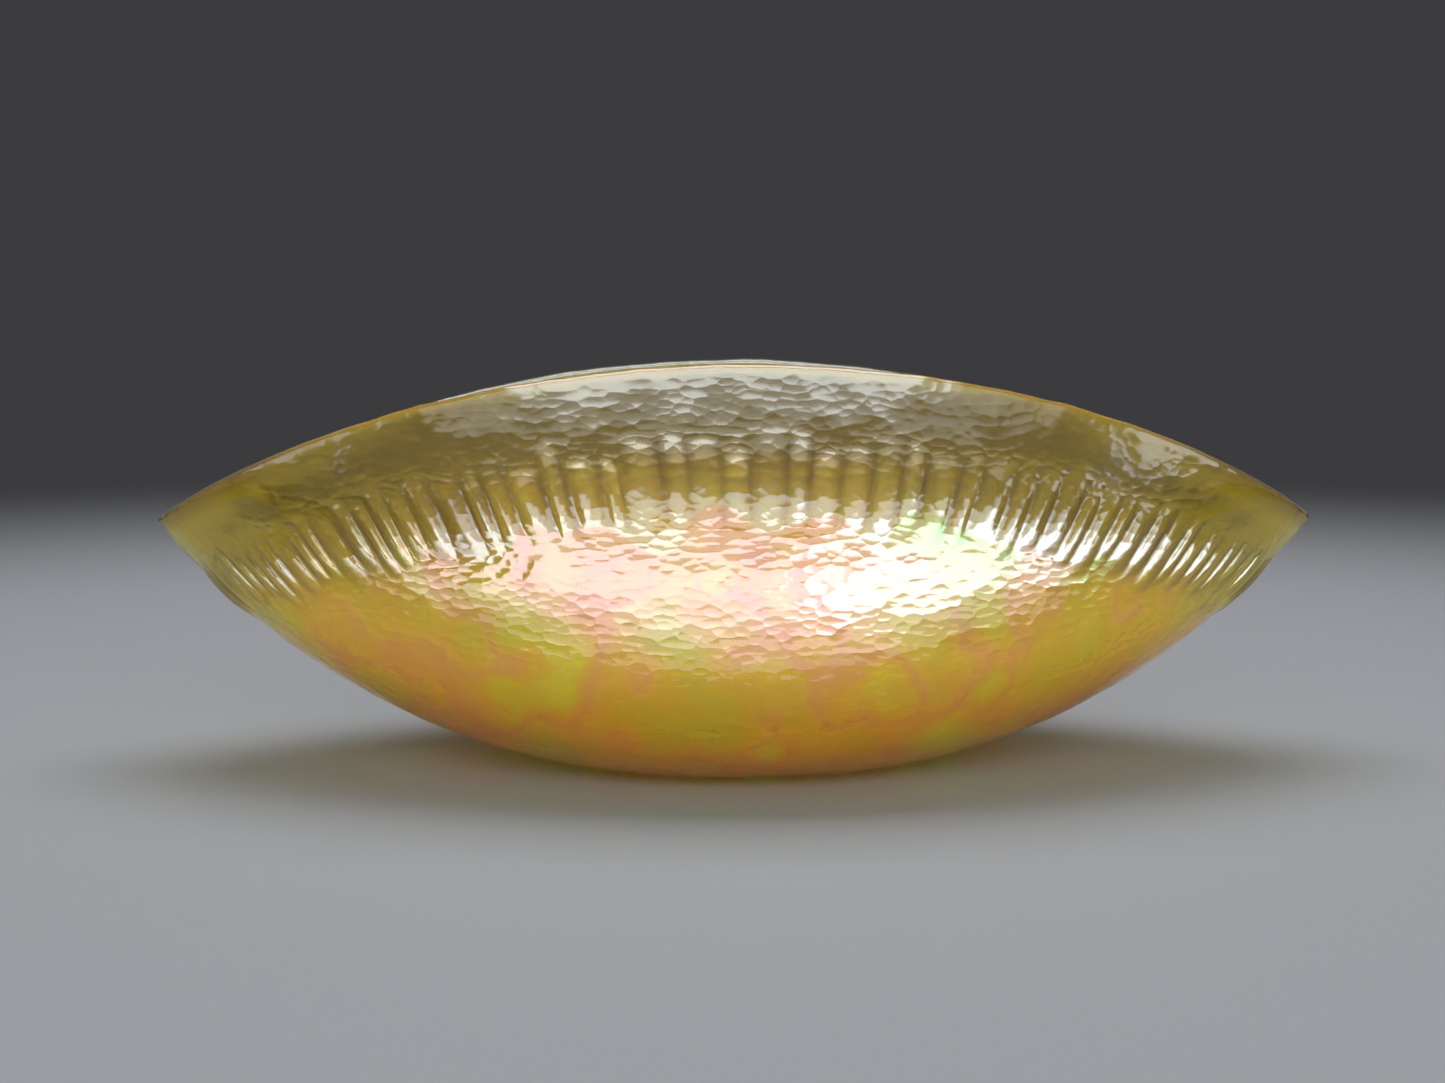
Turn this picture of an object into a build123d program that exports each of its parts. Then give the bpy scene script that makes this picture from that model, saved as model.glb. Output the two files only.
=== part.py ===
from build123d import *
import os

# A boat-shaped art glass bowl: one pressed piece, with a ring of flutes below its arched rim.
#
# The wall is drawn by two cubic outlines, the half section across the middle and the keel that
# runs from the foot to a tip. Four rings join them, so that a quarter of the outer face is one
# bicubic surface with 4 by 4 control points. The inner face, the rounded lip and every flute
# are further surfaces worked out from those points, and all of them meet edge to edge.
# Millimetres, +Z up, origin at the centre of the foot, X along the bowl from tip to tip.

# Foot: the flat oval that the bowl stands on.
foot_half_length = 42.0
foot_half_width = 24.0

# Half section across the middle. It leaves the foot level and runs towards underside_reach,
# turns up round the corner at belly_reach and belly_height, and leans in to the mouth.
underside_reach = 88.0
belly_reach = 117.0
belly_height = 58.0
mouth_half_width = 72.0
rim_height = 138.0

# Keel. It leaves the foot level and runs towards underside_half_length, then bends up to a tip past the
# corner at keel_reach and keel_rise.
underside_half_length = 90.0
keel_reach = 155.0
keel_rise = 30.0
half_length = 200.0
tip_height = 83.0

# Plan of the rings: how far along its sides run straight, and how blunt it turns at a tip.
# The foot's fullness is the one that draws an ellipse.
foot_fullness = 0.5523
side_straightness = 0.50
tip_bluntness = 0.50
rim_straightness = 0.62
rim_bluntness = 0.34

# Thickness of the glass in the wall and in the floor.
wall = 4.5

# Flutes: ribs pressed proud of the wall, in a ring that keeps its distance from the rim.
flutes_in_quarter = 32
flute_height = 1.2
flute_length = 27.0
plain_margin = 25.0

# A cubic whose handles are this share of its width draws a half circle.
half_round_handle = 2 / 3
# The four inner control points lift the middle of a bicubic surface by this share.
inner_point_pull = 0.75**2


def ring(side, tip, straightness, bluntness):
    """Control points of a quarter ring, from the middle of a side to a tip."""
    along_side = Vector(straightness * tip.X, side.Y, side.Z)
    round_tip = Vector(tip.X, bluntness * side.Y, tip.Z)
    return [side, along_side, round_tip, tip]


def blend(points, shares):
    """Blend neighbouring points once for each share, until a single point is left."""
    for share in shares:
        points = [start + (end - start) * share for start, end in zip(points, points[1:])]
    return points[0]


def stretch(points, start, end):
    """Control points of the piece of a cubic between two of its parameters."""
    return [blend(points, [start] * (3 - count) + [end] * count) for count in range(4)]


def patch(net, bottom, top, left=0.0, right=1.0):
    """Control points of the piece of a surface between two heights and two sides."""
    columns = [stretch(column, bottom, top) for column in zip(*net)]
    return [stretch(row, left, right) for row in zip(*columns)]


def point_and_direction(points, share):
    """The point of a cubic at a parameter, and the direction in which the cubic passes it."""
    start = blend(points[:3], [share] * 2)
    end = blend(points[1:], [share] * 2)
    return start + (end - start) * share, (end - start).normalized()


def one_wall_in(net, up, along):
    """The point one wall inside the outer face, square to it."""
    rising_curve = [blend(row, [along] * 3) for row in net]
    level_curve = [blend(column, [up] * 3) for column in zip(*net)]
    point, upward = point_and_direction(rising_curve, up)
    point, onward = point_and_direction(level_curve, along)
    return point + onward.cross(upward).normalized() * wall


def through(points):
    """Control points of the cubic that passes through four points at equal steps."""
    first, second, third, last = points
    early = (second * 18 - first * 5 - third * 9 + last * 2) / 6
    late = (third * 18 - last * 5 - second * 9 + first * 2) / 6
    return [first, early, late, last]


def offset_net(net):
    """Control points of the inner face, which meets its mirror images without a crease."""
    steps = [0, 1 / 3, 2 / 3, 1]
    grid = [[one_wall_in(net, up, along) for along in steps] for up in steps]
    columns = [through(column) for column in zip(*grid)]
    rows = [through(row) for row in zip(*columns)]
    return [
        [side, Vector(early.X, side.Y, side.Z), Vector(tip.X, late.Y, tip.Z), tip]
        for side, early, late, tip in rows
    ]


def lip(outer, inner):
    """The fire-polished rim: a half round that runs on smoothly from both faces."""
    share = half_round_handle * wall / (outer[3][0] - outer[2][0]).length
    over_outer = [end + (end - start) * share for start, end in zip(outer[2], outer[3])]
    over_inner = [end + (end - start) * share for start, end in zip(inner[2], inner[3])]
    return [outer[3], over_outer, over_inner, inner[3]]


def flute(net, bottom, top, left, right):
    """One rib: a piece of the outer face, raised in its middle and not at its edges."""
    rib = patch(net, bottom, top, left, right)
    outward = (rib[3][1] - rib[0][1]).cross(rib[1][3] - rib[1][0]).normalized()
    for row in (1, 2):
        for column in (1, 2):
            rib[row][column] += outward * (flute_height / inner_point_pull)
    return rib


def oval(row):
    """The level face inside a ring, from the control points of its quarter."""
    with BuildSketch(Plane.XY.offset(row[0].Z)) as level:
        with BuildLine():
            Bezier(*[(point.X, point.Y) for point in row])
            mirror(about=Plane.YZ)
            mirror(about=Plane.XZ)
        make_face()
    return level.sketch.face()


# The two driving outlines, each one as its control points.
middle_section = [
    Vector(0, foot_half_width, 0),
    Vector(0, underside_reach, 0),
    Vector(0, belly_reach, belly_height),
    Vector(0, mouth_half_width, rim_height),
]
keel = [
    Vector(foot_half_length, 0, 0),
    Vector(underside_half_length, 0, 0),
    Vector(keel_reach, 0, keel_rise),
    Vector(half_length, 0, tip_height),
]
straightness = [foot_fullness, side_straightness, side_straightness, rim_straightness]
bluntness = [foot_fullness, tip_bluntness, tip_bluntness, rim_bluntness]

# One row of control points for each ring, from the foot up to the rim.
outer_net = [ring(*row) for row in zip(middle_section, keel, straightness, bluntness)]
inner_net = offset_net(outer_net)

# Where the flute ring starts and ends, measured down the middle section from the rim.
with BuildLine() as section_line:
    section = Bezier(*middle_section)
ring_top = section.param_at(1 - plain_margin / section.length)
ring_bottom = section.param_at(1 - (plain_margin + flute_length) / section.length)

# A quarter of the bowl: the wall below the flutes, the margin above them, lip and inner face.
quarter_nets = [
    patch(outer_net, 0, ring_bottom),
    patch(outer_net, ring_top, 1),
    lip(outer_net, inner_net),
    inner_net,
]
for place in range(flutes_in_quarter):
    left = place / flutes_in_quarter
    right = (place + 1) / flutes_in_quarter
    quarter_nets.append(flute(outer_net, ring_bottom, ring_top, left, right))

with BuildPart() as glass_bowl:
    quarter = [Face.make_bezier_surface(net) for net in quarter_nets]
    half = quarter + [face.mirror(Plane.YZ) for face in quarter]
    skin = half + [face.mirror(Plane.XZ) for face in half]
    add(Solid(Shell(skin + [oval(outer_net[0]), oval(inner_net[0])])))

glass_bowl.part.label = "glass_bowl"
os.makedirs("parts", exist_ok=True)
export_step(glass_bowl.part, "parts/glass_bowl.step")
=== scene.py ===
# %% [markdown]
# # A boat-shaped bowl of amber lustre glass
#
# The bowl is one piece of pressed glass, long and narrow like a boat, with pointed ends and a mouth
# that leans back in over its belly. Its outer side is dented all over as if with a hammer, and a ring
# of short upright flutes runs round it under the rim. A very thin film of metal oxide gives the amber
# glass its silver, pink and pale green lustre.
#
# The solid model of the bowl is loaded first and is never changed. It gives the size and the place
# of everything that follows.

# %% Load the solid model
import math

import bpy
import numpy as np
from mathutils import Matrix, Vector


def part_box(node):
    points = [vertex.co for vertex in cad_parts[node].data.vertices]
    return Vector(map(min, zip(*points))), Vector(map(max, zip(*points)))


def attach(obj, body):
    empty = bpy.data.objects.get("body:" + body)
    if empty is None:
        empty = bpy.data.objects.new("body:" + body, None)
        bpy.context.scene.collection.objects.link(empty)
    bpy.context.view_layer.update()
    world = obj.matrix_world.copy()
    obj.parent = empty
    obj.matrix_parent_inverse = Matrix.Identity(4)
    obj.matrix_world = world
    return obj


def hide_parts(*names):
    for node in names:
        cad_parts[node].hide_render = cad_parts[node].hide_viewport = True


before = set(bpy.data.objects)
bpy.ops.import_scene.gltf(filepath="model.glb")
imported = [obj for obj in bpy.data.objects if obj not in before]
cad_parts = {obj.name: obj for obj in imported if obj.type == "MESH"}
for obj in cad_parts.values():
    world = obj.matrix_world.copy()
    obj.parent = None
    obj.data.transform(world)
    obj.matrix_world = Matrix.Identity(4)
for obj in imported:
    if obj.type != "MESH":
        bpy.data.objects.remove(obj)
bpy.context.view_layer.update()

low, high = (np.array(corner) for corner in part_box("glass_bowl"))
print("the solid bowl measures", np.round((high - low) * 1000, 1), "mm")

# %% [markdown]
# ## The form of the wall
#
# The wall is one smooth sheet of curves. It could be lofted from many outlines, but a designer draws
# such a form with very few points: four rings, one above the other, each with four points from the
# middle of a long side to the pointed end. A cubic curve runs through each ring and up each side, and
# the quarter is mirrored to the other three. The rings below are shares of the half length, the
# widest half width and the height of the solid model, so the glass fits it. The two shares say how
# far each ring runs straight along its side, and how blunt it turns at its tip.

# %% Four rings of four points
half_length = (high[0] - low[0]) / 2
half_width = (high[1] - low[1]) / 2
height = high[2] - low[2]
wall = 0.0045
fullness_of_an_ellipse = 0.5523

side_out = half_width * np.array([0.256, 0.938, 1.2475, 0.7677])
side_up = height * np.array([0.0, 0.0, 0.4168, 0.9916])
tip_out = half_length * np.array([0.2096, 0.4492, 0.7736, 0.9982])
tip_up = height * np.array([0.0, 0.0, 0.2156, 0.5964])
side_share = np.array([fullness_of_an_ellipse, 0.5, 0.5, 0.62])
tip_share = np.array([fullness_of_an_ellipse, 0.5, 0.5, 0.34])

zero = np.zeros(4)
rings = np.stack(
    [
        np.stack([zero, side_out, side_up], axis=-1),
        np.stack([side_share * tip_out, side_out, side_up], axis=-1),
        np.stack([tip_out, tip_share * side_out, tip_up], axis=-1),
        np.stack([tip_out, zero, tip_up], axis=-1),
    ],
    axis=1,
)
print("the wall is drawn with", rings.shape[0], "rings of", rings.shape[1], "points")

# %% [markdown]
# ## Points on the wall
#
# Every point of the wall has two numbers: how far up it lies, from 0 at the foot to 1 at the rim, and
# how far round it lies, from 0 to 4, one for each quarter. The cubic weights say how much each of the
# four rings and four points counts there. The slopes of the same weights give two directions along
# the surface, and the direction square to both is the one that points out of the glass.

# %% The wall as a function of two numbers
def weights(t):
    """The four cubic weights: (1-t)^3, 3t(1-t)^2, 3t^2(1-t) and t^3."""
    return np.stack([(1 - t) ** 3, 3 * t * (1 - t) ** 2, 3 * t**2 * (1 - t), t**3], axis=-1)


def slopes(t):
    """How fast each of the four cubic weights grows with t."""
    return np.stack(
        [-3 * (1 - t) ** 2, 3 * (1 - t) ** 2 - 6 * t * (1 - t), 6 * t * (1 - t) - 3 * t**2, 3 * t**2],
        axis=-1,
    )


def wall_surface(up, turn):
    """The point, the direction out of the glass and the direction up the wall, for every pair of up and turn.

    Within a quarter the second number rises from 0 at the side's middle to 1 at the tip, and in the
    next quarter it falls back, so the same net serves all four with the signs of X and Y changed.
    """
    share = 1 - np.abs(1 - turn % 2)
    signs = np.stack(
        [np.where(turn < 2, 1.0, -1.0), np.where((turn > 1) & (turn < 3), -1.0, 1.0), np.ones_like(turn)],
        axis=-1,
    )
    point = np.einsum("...i,...j,ijk->...k", weights(up), weights(share), rings)
    upward = np.einsum("...i,...j,ijk->...k", slopes(up), weights(share), rings)
    onward = np.einsum("...i,...j,ijk->...k", weights(up), slopes(share), rings)
    outward = np.cross(upward, onward)
    outward /= np.linalg.norm(outward, axis=-1, keepdims=True)
    upward /= np.linalg.norm(upward, axis=-1, keepdims=True)
    return point * signs, outward * signs, upward * signs


# %% [markdown]
# ## Where the flutes stand
#
# The flutes begin 25 mm under the rim and are 27 mm long. They are pressed by hand-cut grooves in the
# mould, so no two are quite as wide. The borders between them are moved a little at random, with a
# seed so that they always fall in the same place, and stay put only where one quarter meets the next.
# Each flute gets six columns of the mesh, and the columns follow its borders, which keeps the valleys
# between flutes sharp.

# %% Columns round the bowl and rows up the wall
rng = np.random.default_rng(7)
flutes_round = 128
columns_per_flute = 6
plain_margin = 0.025
flute_length = 0.027

middle_up = np.linspace(0, 1, 400)
middle_line, _, _ = wall_surface(middle_up, np.zeros_like(middle_up))
steps = np.linalg.norm(np.diff(middle_line, axis=0), axis=1)
from_rim = np.concatenate([np.cumsum(steps[::-1])[::-1], [0.0]])
flute_top = np.interp(-plain_margin, -from_rim, middle_up)
flute_bottom = np.interp(-plain_margin - flute_length, -from_rim, middle_up)

pitch = 4 / flutes_round
shift = rng.uniform(-0.24, 0.24, flutes_round + 1) * pitch
shift[:: flutes_round // 4] = 0
borders = np.arange(flutes_round + 1) * pitch + shift
columns = flutes_round * columns_per_flute
turns = np.interp(np.arange(columns) / columns_per_flute, np.arange(flutes_round + 1), borders)

outer_rows = 96
ups = np.linspace(0, 1, outer_rows)
up_grid, turn_grid = np.meshgrid(ups, turns, indexing="ij")
outer, outward, upward = wall_surface(up_grid, turn_grid)
print("flutes stand from", round(flute_bottom, 3), "to", round(flute_top, 3), "of the way up the wall")

# %% [markdown]
# ## The flutes
#
# Each flute is a rounded bar that swells out of the wall and dies away at both ends. Across it the
# height is a parabola, which meets the next flute in a sharp valley. Along it the height follows the
# same parabola raised to a power below one, which is blunter. Height and length differ a little from
# flute to flute.

# %% Raise the flutes
flute_height = 0.0012
number = np.floor(np.arange(columns) / columns_per_flute).astype(int)
across = (np.arange(columns) % columns_per_flute) / columns_per_flute
bar = 4 * across * (1 - across)
tallness = rng.uniform(0.85, 1.15, flutes_round)[number]
top = flute_top + rng.uniform(-0.012, 0.016, flutes_round)[number]
bottom = flute_bottom + rng.uniform(-0.02, 0.02, flutes_round)[number]
along = np.clip((up_grid - bottom) / (top - bottom), 0, 1)
swell = 4 * along * (1 - along)
flutes = flute_height * tallness * bar * swell**0.8
print("the tallest flute stands", round(flutes.max() * 1000, 2), "mm proud")

# %% [markdown]
# ## The hammered skin
#
# A hammered mould leaves shallow cups that meet in soft ridges. A bump texture could fake them, but
# the edges of the highlights would stay smooth lines, and in lustre glass those ragged edges are half
# of the look. So each blow gets a real place on the wall. A point belongs to the blow that makes it
# lowest: the squared distance to the blow, plus a number of the blow's own, so that some cups are
# deep and others shallow. The slow waves of hot glass come from a sum of plane waves that run in
# random directions.

# %% Blows, cups and ripples
def scattered(points, spacing, tries):
    """Random picks from the points that lie no nearer to each other than the spacing."""
    picks = points[rng.integers(0, len(points), tries)]
    kept = picks[:1]
    for pick in picks[1:]:
        if ((kept - pick) ** 2).sum(axis=1).min() > spacing**2:
            kept = np.vstack([kept, pick])
    return kept


def cups(points, blows, spacing, unevenness):
    """For each point the least of (distance to a blow / spacing)^2 plus that blow's own number."""
    own = rng.uniform(0, unevenness, len(blows))
    depth = np.empty(len(points))
    for part in np.array_split(np.arange(len(points)), 24):
        squares = ((points[part] ** 2).sum(axis=1)[:, None] + (blows**2).sum(axis=1)
                   - 2 * points[part] @ blows.T)
        depth[part] = (squares / spacing**2 + own).min(axis=1)
    return depth


def ripples(points, length, count):
    """A smooth random height between about -1 and 1: the mean of plane waves in random directions."""
    directions = rng.normal(size=(count, 3))
    directions /= np.linalg.norm(directions, axis=1, keepdims=True)
    phases = rng.uniform(0, 2 * np.pi, count)
    waves = np.sin(points @ directions.T * (2 * np.pi / length) + phases)
    return waves.sum(axis=-1) / np.sqrt(count / 2) / 2


print("blows, cups and ripples are ready")

# %% [markdown]
# ## How deep the marks go
#
# Two sets of cups lie over each other, one broad and one fine, a fifth and a sixteenth of a
# millimetre deep. Both are looked up at points that are pushed about a little, which bends their
# ridges. The hammering dies away at the foot and is faint on the flutes. The waves are longer and
# gentler, and run through the flutes as well.

# %% Dent the outer side
outer_points = outer.reshape(-1, 3)
broad, fine = 0.0075, 0.0036
broad_depth, fine_depth, unevenness = 0.00020, 0.00006, 0.5
push = 0.0012
warped = outer_points + push * np.stack([ripples(outer_points, 0.012, 12) for _ in range(3)], axis=-1)
broad_blows = scattered(outer_points, broad, 9000)
fine_blows = scattered(outer_points, fine, 14000)
hammered = broad_depth * cups(warped, broad_blows, broad, unevenness)
hammered += fine_depth * cups(warped, fine_blows, fine, unevenness)
waviness = 0.00025 * ripples(outer_points, 0.07, 10) + 0.0001 * ripples(outer_points, 0.025, 16)

above_foot = np.clip((ups - 0.02) / 0.06, 0, 1)[:, None]
hammering = above_foot * (1 - 0.6 * swell**0.5)
waving = np.minimum(2.5 * hammering, 1)
grid = (outer_rows, columns)
relief = flutes + hammering * hammered.reshape(grid) + waving * waviness.reshape(grid)
print(len(broad_blows), "broad and", len(fine_blows), "fine blows, relief",
      np.round([relief.min() * 1000, relief.max() * 1000], 2), "mm")

# %% [markdown]
# ## The lip, the inner side, the foot and the floor
#
# The rim was melted round in the fire, so the lip is half a circle from the outer edge to the inner
# one. The inner side is the outer sheet moved one wall's thickness in, and it is smooth. Foot and
# floor are flat ovals, closed by rings that shrink to a point in the middle. All of these are rows of
# the same length, so they can be laid one after another and joined into one closed skin.

# %% Lay all rows from the foot's middle to the floor's middle
outer_skin = outer + outward * relief[..., None]

rim, rim_out, rim_up = outer_skin[-1], outward[-1], upward[-1]
inner_edge = outer[-1] - rim_out * wall
lip_middle = (rim + inner_edge) / 2
lip_half = (rim - inner_edge) / 2
lip_rows = 6
angles = np.linspace(0, np.pi, lip_rows + 2)[1:-1, None, None]
lip = (lip_middle + np.cos(angles) * lip_half
       + np.sin(angles) * rim_up * np.linalg.norm(lip_half, axis=-1, keepdims=True))

inner_rows = 21
inner_ups = np.linspace(1, 0, inner_rows)
inner_grid, inner_turns = np.meshgrid(inner_ups, turns, indexing="ij")
inner_point, inner_out, _ = wall_surface(inner_grid, inner_turns)
inner_skin = inner_point - inner_out * wall

foot = outer_skin[0] * np.array([0.35, 0.7])[:, None, None]
floor_disc = inner_skin[-1] * [1, 1, 0] * np.array([0.7, 0.35])[:, None, None] + [0, 0, wall]
rows = np.concatenate([foot, outer_skin, lip, inner_skin, floor_disc])
print("one skin of", rows.shape[0], "rows and", rows.shape[1], "columns")

# %% [markdown]
# ## The mesh
#
# Four neighbours make a face, and the last column joins the first, so there is no seam. The corners
# are taken up the wall first and then round it, which makes the faces look outwards. The two middle
# points close the ends with triangles. The finished skin is stretched by a hair to fill the solid
# model's box exactly.

# %% Join the rows into a closed bowl
def closed_skin(name, rows, ends):
    """A mesh of rows of points, each joined to the next and to itself, closed by one point at each end."""
    count, around, _ = rows.shape
    points = np.concatenate([rows.reshape(-1, 3), ends])
    index = np.arange(count * around).reshape(count, around)
    beside = np.roll(index, -1, axis=1)
    quads = np.stack([index[:-1], index[1:], beside[1:], beside[:-1]], axis=-1).reshape(-1, 4)
    first, last = count * around, count * around + 1
    start = np.stack([np.full(around, first), index[0], beside[0]], axis=-1)
    end = np.stack([index[-1], np.full(around, last), beside[-1]], axis=-1)
    mesh = bpy.data.meshes.new(name)
    mesh.from_pydata(points.tolist(), [], quads.tolist() + start.tolist() + end.tolist())
    mesh.validate()
    mesh.shade_smooth()
    return mesh


def fitted(points, low, high):
    """The points moved and stretched along X, Y and Z so that they just fill the box."""
    least, most = points.min(axis=(0, 1)), points.max(axis=(0, 1))
    return low + (points - least) / (most - least) * (high - low)


rows = fitted(rows, low, high)
ends = np.array([[0, 0, low[2]], [0, 0, low[2] + wall]])
bowl = bpy.data.objects.new("lustre_bowl", closed_skin("lustre_bowl", rows, ends))
bpy.context.scene.collection.objects.link(bowl)
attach(bowl, "root")
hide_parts("glass_bowl")

corners = np.empty(len(bowl.data.vertices) * 3)
bowl.data.vertices.foreach_get("co", corners)
bowl.data.calc_loop_triangles()
triangles = np.empty(len(bowl.data.loop_triangles) * 3, dtype=int)
bowl.data.loop_triangles.foreach_get("vertices", triangles)
a, b, c = corners.reshape(-1, 3)[triangles.reshape(-1, 3)].transpose(1, 0, 2)
volume = (a * np.cross(b, c)).sum() / 6
print(len(triangles) // 3, "triangles around", round(volume * 1e6), "cm3 of glass")

# %% [markdown]
# ## Where each part of the finish lies
#
# One glass, but not one finish: the film covers only the outer side and the lip, the hammer marks
# fade towards the rim and the foot, the glass is clearer above the flutes than below them, and
# painted shade darkens it brown in the creases between flutes and along the rim near the tips.
# Textures could not know where these places are. So four numbers are painted on the points of the
# mesh, from the same up and turn that shaped it, and the material reads them by name.

# %% Paint four numbers on the points
def painted(name, values):
    """A number for every point of the mesh: rows of values from the foot's edge up, and nought elsewhere."""
    numbers = np.zeros(len(bowl.data.vertices), dtype=np.float32)
    first = len(foot) * columns
    numbers[first : first + values.size] = values.ravel()
    bowl.data.attributes.new(name, "FLOAT", "POINT").data.foreach_set("value", numbers)
    print(name, "reaches", round(float(numbers.max()), 2), "on", int((numbers > 0).sum()), "points")


def clearer(up):
    """How far a height has passed from the lower glass, 0, to the clear glass at the flutes, 1."""
    return np.clip((up - flute_bottom + 0.07) / 0.16, 0, 1)


painted("lustre", np.ones((outer_rows + lip_rows, columns)))

margin = np.clip((ups - flute_top) / (1 - flute_top), 0, 1)[:, None]
painted("hammering", hammering * (1 - 0.5 * np.minimum(4 * margin, 1)))

jitter = 0.04 * ripples(outer_points, 0.03, 16).reshape(grid)
clear_lip = np.ones((lip_rows, columns))
painted("upper", np.concatenate([clearer(up_grid + jitter), clear_lip, clearer(inner_grid)]))

# painted shade: brown in the creases between flutes, and along the rim near the tips where the glass is seen
# edge on
crease_shade = rng.uniform(0.5, 0.95, flutes_round)[number] * (1 - bar) ** 1.3 * swell**0.6
near_tip = 0.85 * np.clip((np.abs(rim[:, 0]) - 0.12) / 0.05, 0, 1)
edge = np.clip((ups - 0.97) / 0.03, 0, 1)[:, None] * near_tip
painted("painted_valley_shade", np.concatenate([np.maximum(crease_shade, edge), np.tile(near_tip, (lip_rows, 1))]))

# %% [markdown]
# ## Six words for building materials
#
# A material is a net of nodes, and most of its lines would only say what is linked to what. Six short
# functions add the nodes that the finishes below need and give back what comes out of them, so each
# finish reads as a recipe. A plain number goes straight into the socket that needs it.

# %% Nodes, ranges and blends
def node(tree, kind, **settings):
    """A new node of this kind with these settings. A name that is an input's sets that input."""
    made = tree.nodes.new(kind)
    for name, value in settings.items():
        if name in made.inputs:
            made.inputs[name].default_value = value
        else:
            setattr(made, name, value)
    return made


def fed(tree, socket, value):
    """Link what another node gives to the socket, or write a plain value into it."""
    if isinstance(value, bpy.types.NodeSocket):
        tree.links.new(value, socket)
    else:
        socket.default_value = value


def spread(tree, value, start, end, first, last, curve="LINEAR"):
    """The value moved from the range start to end over to the range first to last, and held there."""
    made = node(tree, "ShaderNodeMapRange", interpolation_type=curve)
    for name, number in zip(("From Min", "From Max", "To Min", "To Max"), (start, end, first, last)):
        made.inputs[name].default_value = number
    fed(tree, made.inputs["Value"], value)
    return made.outputs["Result"]


def blended(tree, share, first, second, kind="FLOAT", way="MIX"):
    """The first value, moved by the share towards the second, or towards their product."""
    made = node(tree, "ShaderNodeMix", data_type=kind, blend_type=way)
    fed(tree, made.inputs["Factor"], share)
    fed(tree, made.inputs["A"], first)
    fed(tree, made.inputs["B"], second)
    return made.outputs["Result"]


def reckoned(tree, operation, first, second):
    """The result of one sum on two numbers."""
    made = node(tree, "ShaderNodeMath", operation=operation)
    fed(tree, made.inputs[0], first)
    fed(tree, made.inputs[1], second)
    return made.outputs["Value"]


def painted_number(tree, name):
    """What the number of this name on the points of the mesh is here."""
    return node(tree, "ShaderNodeAttribute", attribute_name=name).outputs["Fac"]


print("six short functions are ready for the finishes")

# %% [markdown]
# ## The film
#
# The lustre is a film of oxide that is thinner than the wavelength of light, fumed on to the hot
# glass. Light that bounces off its top and off its bottom adds up for some colours and cancels for
# others, so the colour of a reflection depends on the film's thickness and on the angle. The shader
# has a film of its own, and only its thickness has to vary. Towards the rim it is so thin that all
# colours still add up and it looks silver. Down the belly it is about ten times as thick, and varies
# in broad clouds and from one facet to the next: near 600 nm the colours it picks are close to white,
# pale pink where it is thicker and pale green where it is thinner. Its refraction is kept near the
# glass's own, which makes those colours paler still.

# %% Glass with a film of uneven thickness
glass = bpy.data.materials.new("lustre_glass")
glass.use_nodes = True
tree = glass.node_tree
shader = tree.nodes["Principled BSDF"]
shader.inputs["IOR"].default_value = 1.5
shader.inputs["Thin Film IOR"].default_value = 1.67
rim_film = 62.0
belly_film = (580.0, 645.0)

place = node(tree, "ShaderNodeTexCoord").outputs["Object"]
upper = painted_number(tree, "upper")
clouds = node(tree, "ShaderNodeTexNoise", Scale=18.0, Detail=2.0)
facets = node(tree, "ShaderNodeTexVoronoi", feature="SMOOTH_F1", Scale=75.0, Smoothness=1.0)
fed(tree, clouds.inputs["Vector"], place)
fed(tree, facets.inputs["Vector"], place)
facet_numbers = node(tree, "ShaderNodeSeparateColor")
fed(tree, facet_numbers.inputs["Color"], facets.outputs["Color"])

uneven = blended(tree, 0.3, clouds.outputs["Fac"], facet_numbers.outputs["Red"])
low_film = spread(tree, uneven, 0.3, 0.7, *belly_film)
is_upper = reckoned(tree, "GREATER_THAN", upper, 0.5)
film = blended(tree, is_upper, low_film, rim_film)
on_outside = reckoned(tree, "MULTIPLY", painted_number(tree, "lustre"), film)
fed(tree, shader.inputs["Thin Film Thickness"], on_outside)
print("the film is", rim_film, "nm thick at the rim and", belly_film, "nm down the belly")

# %% [markdown]
# ## The amber body
#
# Fumed amber glass is never one colour. Patches of lemon, gold and orange lie side by side, a few
# centimetres wide. Towards the foot the colour darkens to deep brown gold, partly for the thicker glass
# there and partly as painted shade where the foot stands in its own shadow. The rim is a cooler olive
# gold, and painted shade darkens the creases between the flutes and the rim near the tips to brown. A
# colour ramp holds the patches. It is read by clouds of its own and by another number of the same
# facets, so that colour and sheen don't run together.

# %% Patches, a darker foot partly of painted shade, olive rim and painted shade in the creases
lemon, gold, straw = (0.94, 0.92, 0.10), (1.0, 0.76, 0.12), (0.96, 0.74, 0.08)
olive, orange, honey = (0.86, 0.82, 0.10), (1.0, 0.60, 0.22), (1.0, 0.74, 0.10)
patch_stops = {0.34: olive, 0.42: straw, 0.48: gold, 0.54: orange, 0.60: honey, 0.68: lemon}
# deep colour for the foot: partly the thicker glass, partly painted shade
thick_and_shaded_foot = (0.85, 0.66, 0.08, 1)
olive_rim = (0.88, 0.74, 0.11, 1)
# painted shade colour for the creases and for the rim near the tips
painted_crease_shade = (0.32, 0.18, 0.01, 1)

tint = node(tree, "ShaderNodeTexNoise", Scale=22.0, Detail=1.0)
fed(tree, tint.inputs["Vector"], place)
patches = node(tree, "ShaderNodeValToRGB")
ramp = patches.color_ramp.elements
for share in list(patch_stops)[1:-1]:
    ramp.new(share)
for element, (share, colour) in zip(ramp, patch_stops.items()):
    element.position = share
    element.color = (*colour, 1)
fed(tree, patches.inputs["Fac"], blended(tree, 0.3, tint.outputs["Fac"], facet_numbers.outputs["Green"]))

level = node(tree, "ShaderNodeSeparateXYZ")
fed(tree, level.inputs["Vector"], place)
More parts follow.
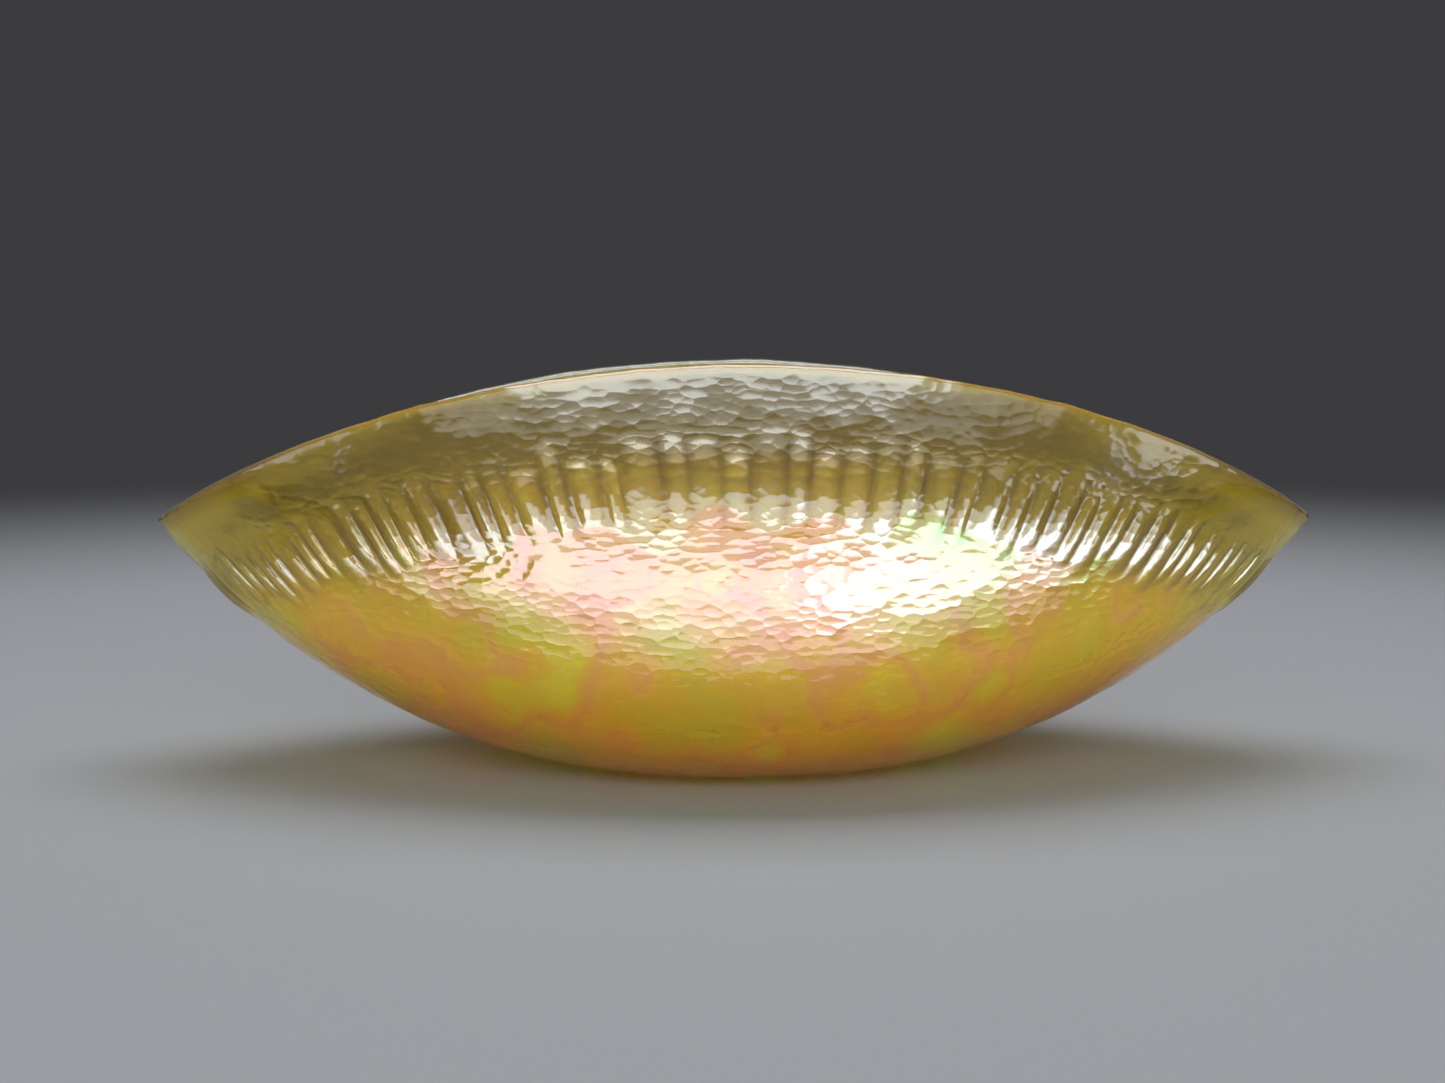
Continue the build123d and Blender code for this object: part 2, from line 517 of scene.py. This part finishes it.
# darker towards the foot: partly the thicker glass, partly painted shade of its own shadow
low_down = spread(tree, level.outputs["Z"], 0.05, 0.0, 0.0, 1.0, curve="SMOOTHSTEP")
body = blended(tree, low_down, patches.outputs["Color"], thick_and_shaded_foot, kind="RGBA", way="MULTIPLY")
body = blended(tree, upper, body, olive_rim, kind="RGBA")
# painted shade: the creases and the rim near the tips turn brown
body = blended(tree, painted_number(tree, "painted_valley_shade"), body, painted_crease_shade, kind="RGBA")
fed(tree, shader.inputs["Base Color"], body)
# the deep foot is partly painted shade, and the brown creases are painted shade
print("the amber body has", len(ramp), "colours in patches, and a deep foot, an olive rim and brown creases")

# %% [markdown]
# ## Clearness, polish and the small marks
#
# Below the flutes the glass is a little cloudy, so that it shows its own colour, and above them it is
# clear. The belly is glossier than the rim. Last come the smallest marks of the hammered mould: cups
# of about 4 mm, wider than they are high and too fine for the mesh to draw sharply, so they are a
# bump of a fifth of a millimetre at most.

# %% Clear rim, cloudy belly, small cups
fed(tree, shader.inputs["Transmission Weight"], spread(tree, upper, 0.0, 1.0, 0.66, 0.96))
fed(tree, shader.inputs["Roughness"], spread(tree, upper, 0.0, 1.0, 0.06, 0.13))

cups_to_the_metre = 230.0
flattened = node(tree, "ShaderNodeMapping", Scale=(1.0, 1.0, 1.7))
fed(tree, flattened.inputs["Vector"], place)
small_cups = node(tree, "ShaderNodeTexVoronoi", Scale=cups_to_the_metre)
fed(tree, small_cups.inputs["Vector"], flattened.outputs["Vector"])
from_blow = small_cups.outputs["Distance"]
bump = node(tree, "ShaderNodeBump", Distance=0.00022)
fed(tree, bump.inputs["Strength"], painted_number(tree, "hammering"))
fed(tree, bump.inputs["Height"], reckoned(tree, "MULTIPLY", from_blow, from_blow))
fed(tree, shader.inputs["Normal"], bump.outputs["Normal"])
bowl.data.materials.append(glass)
print("the small cups are", round(1000 / cups_to_the_metre, 1), "mm across")

# %% [markdown]
# ## The table and the darkness behind it
#
# The bowl stands on a pale sheet of paper that runs off into the dark. A wall behind the bowl would
# hide it from other sides, so the paper is a wide disc instead, pale round the bowl, and further out
# it fades into painted shade: a dark grey that it gives out itself, where the light falls off. The
# world beyond has the same dark grey.

# %% The paper
paper_radius = 6.0
pale_grey = (0.30, 0.31, 0.33, 1)
dark_grey = (0.045, 0.045, 0.048, 1)


def disc(name, radius, count):
    """A flat round face of count corners at the height of the foot."""
    angle = np.linspace(0, 2 * np.pi, count, endpoint=False)
    points = np.stack([radius * np.cos(angle), radius * np.sin(angle), np.full(count, low[2])], axis=-1)
    mesh = bpy.data.meshes.new(name)
    mesh.from_pydata(points.tolist(), [], [list(range(count))])
    return mesh


paper = bpy.data.objects.new("paper", disc("paper", paper_radius, 96))
bpy.context.scene.collection.objects.link(paper)

paper_finish = bpy.data.materials.new("pale_paper")
paper_finish.use_nodes = True
tree = paper_finish.node_tree
shader = tree.nodes["Principled BSDF"]
shader.inputs["Base Color"].default_value = pale_grey
shader.inputs["Roughness"].default_value = 0.9
shader.inputs["Specular IOR Level"].default_value = 0.0
distance = node(tree, "ShaderNodeVectorMath", operation="LENGTH")
fed(tree, distance.inputs[0], node(tree, "ShaderNodeTexCoord").outputs["Object"])
# painted shade: the far paper gives out this dark grey in place of the light that falls off
dark = node(tree, "ShaderNodeEmission", Color=dark_grey)
fade = node(tree, "ShaderNodeMixShader")
outwards = spread(tree, distance.outputs["Value"], 0.55, 1.5, 0.0, 1.0, curve="SMOOTHSTEP")
fed(tree, fade.inputs["Fac"], outwards)
fed(tree, fade.inputs[1], shader.outputs["BSDF"])
fed(tree, fade.inputs[2], dark.outputs["Emission"])
fed(tree, tree.nodes["Material Output"].inputs["Surface"], fade.outputs["Shader"])
paper.data.materials.append(paper_finish)
print("the paper is", 2 * paper_radius, "m across")

# %% [markdown]
# ## The world
#
# The world is a plain dark grey to the camera, and through the glass. For the light that it gives,
# it is a middle grey, so that the ends of the bowl, which mirror the sides of the room, don't go
# black.

# %% The world's two greys
room_light = (0.25, 0.25, 0.255, 1)
world = bpy.data.worlds.new("studio")
bpy.context.scene.world = world
world.use_nodes = True
tree = world.node_tree
rays = node(tree, "ShaderNodeLightPath")
seen = reckoned(tree, "MAXIMUM", rays.outputs["Is Camera Ray"], rays.outputs["Is Transmission Ray"])
shades = blended(tree, seen, room_light, dark_grey, kind="RGBA")
fed(tree, tree.nodes["Background"].inputs["Color"], shades)
print("the world gives", room_light[0], "and shows", dark_grey[0])

# %% [markdown]
# ## Soft lights
#
# Every lamp is a flat rectangle that faces a point, so one function makes them all from a compass
# direction, a height in degrees and a distance. A second one lays a lamp on the table. Most of the
# lamps are only mirrored: they don't brighten the paper, and they don't shine through the glass.

# %% A softbox and a light on the table
middle_of_bowl = (0.0, 0.0, 0.07)


def softbox(name, azimuth, elevation, distance, width, depth, brightness,
            aim=middle_of_bowl, mirrored_only=True):
    """A rectangular lamp that faces aim from a distance, at an azimuth round to the right from the front
    and an elevation above the level. Brightness is how white the lamp looks in a perfect mirror. A lamp
    that is mirrored only lights nothing dull and isn't seen through glass."""
    bearing, rise = math.radians(azimuth), math.radians(elevation)
    away = np.array([math.sin(bearing) * math.cos(rise), -math.cos(bearing) * math.cos(rise), math.sin(rise)])
    lamp = bpy.data.lights.new(name, "AREA")
    lamp.shape = "RECTANGLE"
    lamp.size, lamp.size_y = width, depth
    lamp.energy = brightness * math.pi * width * depth
    made = bpy.data.objects.new(name, lamp)
    made.location = np.array(aim) + away * distance
    made.rotation_euler = (math.pi / 2 - rise, 0.0, bearing)
    made.visible_camera = False
    made.visible_diffuse = not mirrored_only
    made.visible_transmission = not mirrored_only
    bpy.context.scene.collection.objects.link(made)
    print(name, "stands at", [round(v, 2) for v in made.location])
    return made


def table_light(name, right, forward, width, depth, brightness, lift=0.002):
    """A strip that lies just off the table and shines upwards."""
    up_there = 0.1
    aim = (right, -forward, low[2] + up_there)
    return softbox(name, 0, -90, up_there - lift, width, depth, brightness, aim=aim)


print("lamps are aimed", middle_of_bowl[2], "m above the table unless they say otherwise")

# %% [markdown]
# ## Where the lamps stand
#
# Lustre glass is lit by what it mirrors. The belly mirrors what is in front and low down, so a long
# low softbox in front gives the broad white band along it, and strips of light that lie on the table,
# dimmer the nearer they are, give the slow fall from the band down to the foot. The wall above the
# flutes leans back and mirrors what is high in front, which makes the haze under the rim. Between the
# two there is nothing, so the flutes have something dark to stand out against. A tall lamp on each
# side lights the ends. The even light comes from one wide lamp overhead and one in front, which is
# not mirrored itself.

# %% Set out the lamps
softbox("front_softbox", 0, 0, 0.65, 1.55, 0.20, 8.5, aim=(0.2, 0.0, 0.10))
fill = softbox("front_fill", 0, 22, 1.3, 1.6, 0.5, 3.4, mirrored_only=False)
fill.visible_glossy = False
softbox("front_upper", 0, 0, 0.65, 1.75, 0.14, 3.0, aim=(0.2, 0.0, 0.28))
softbox("right_softbox", 0, 0, 0.64, 0.60, 0.22, 4.0, aim=(0.45, 0.0, 0.11))
softbox("right_tall", 74, 20, 1.2, 0.36, 0.36, 2.4)
softbox("left_tall", -74, 22, 1.2, 0.36, 0.36, 1.6)
table_light("table_far", 0.2, 0.54, 1.55, 0.22, 7.5)
table_light("table_right", 0.40, 0.47, 0.60, 0.32, 6.0, lift=0.004)
table_light("table_near", 0.1, 0.36, 1.30, 0.14, 6.5)
table_light("table_nearest", 0.1, 0.24, 1.10, 0.10, 3.4)
table_light("table_edge", 0.1, 0.165, 0.90, 0.05, 1.2)
softbox("front_top", 0, 58, 1.1, 2.1, 0.60, 1.1)
softbox("front_top_middle", 0, 64, 1.1, 1.2, 0.50, 4.2)
softbox("overhead_softbox", 0, 90, 1.1, 1.0, 0.7, 5.0, aim=(0.0, 0.20, 0.0), mirrored_only=False)

# %% [markdown]
# ## The camera
#
# The camera stands a little left of the middle, less than two bowl lengths away, just above the
# height of the rim, and looks slightly down, so that the far edge of the mouth only just shows.

# %% The camera
look_down = 0.1014
look_right = 0.0331
lens = bpy.data.cameras.new("camera")
lens.sensor_width = 36.0
lens.lens = 50.05
camera = bpy.data.objects.new("camera", lens)
camera.location = (-0.0288, -0.6983, 0.1473)
camera.rotation_euler = (math.pi / 2 - look_down, 0.0, -look_right)
bpy.context.scene.collection.objects.link(camera)
bpy.context.scene.camera = camera
bpy.context.scene.view_settings.view_transform = "Standard"
print("the camera looks", round(math.degrees(look_down), 1), "degrees down")
